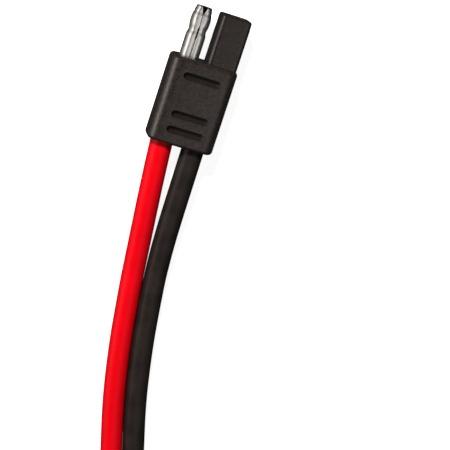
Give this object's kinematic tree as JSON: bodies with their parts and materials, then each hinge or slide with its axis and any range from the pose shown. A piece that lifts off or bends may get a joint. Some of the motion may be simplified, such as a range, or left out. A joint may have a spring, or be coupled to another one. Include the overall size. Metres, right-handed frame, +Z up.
{
  "type": "solar cable connector",
  "caption": "Flat two-pole quick-disconnect connector with a bare pin beside a socket tower and a red and a black lead.",
  "frame": {"origin": "on the resting surface, below the middle of the connector without its leads", "axes": "+Y along the mating direction, out of the pin and the tower; +Z up, out of the broad face; +X from the pin to the tower"},
  "size_m": [0.055, 0.2021, 0.0139],
  "materials": {
    "grip_black": "soft satin PVC, finely textured",
    "carrier_black": "harder satin plastic",
    "plated_contact": "bright tin plating on rolled brass sheet",
    "copper_strand": "bright bare copper strands",
    "jacket_red": "satin PVC",
    "jacket_black": "satin PVC",
    "tie_black": "satin nylon"
  },
  "bodies": {
    "root": {"grip_overmould": "grip_black", "contact_carrier": "carrier_black", "pin_terminal": "plated_contact", "socket_terminal": "plated_contact", "red_conductor": "copper_strand", "black_conductor": "copper_strand", "red_jacket": "jacket_red", "black_jacket": "jacket_black", "bundle_tie": "tie_black"}
  },
  "joints": []
}
